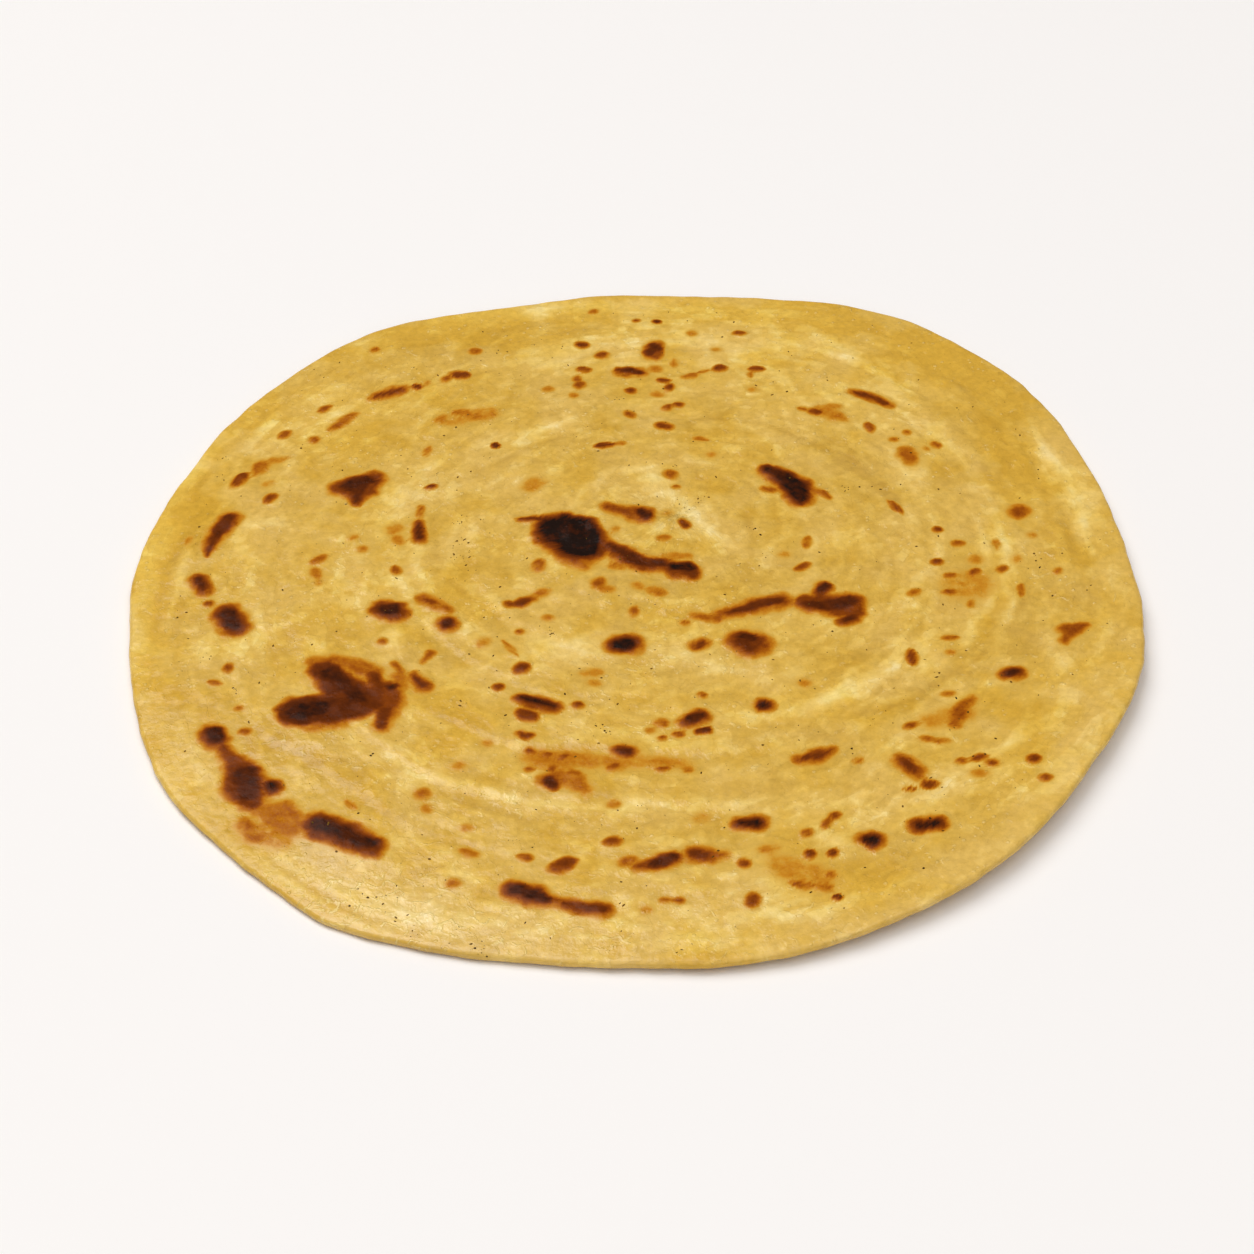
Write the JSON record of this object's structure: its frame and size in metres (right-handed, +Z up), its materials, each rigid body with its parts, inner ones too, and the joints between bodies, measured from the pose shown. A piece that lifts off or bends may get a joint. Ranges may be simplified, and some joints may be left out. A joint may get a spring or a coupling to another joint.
{
  "type": "lachha paratha",
  "caption": "Round layered flatbread with a coiled top and griddle marks, made to lie flat on a plate or board.",
  "frame": {"origin": "under the middle of the bread's box, on the plane that its flat middle rests on", "axes": "+Z up out of the browned top; -Y is the near edge and +X the right edge as seen from the near side"},
  "size_m": [0.1992, 0.1978, 0.0051],
  "materials": {
    "dough": "griddled wheat dough, golden, brushed with fat, with dark brown griddle marks"
  },
  "bodies": {
    "root": {"paratha": "dough"}
  },
  "joints": []
}
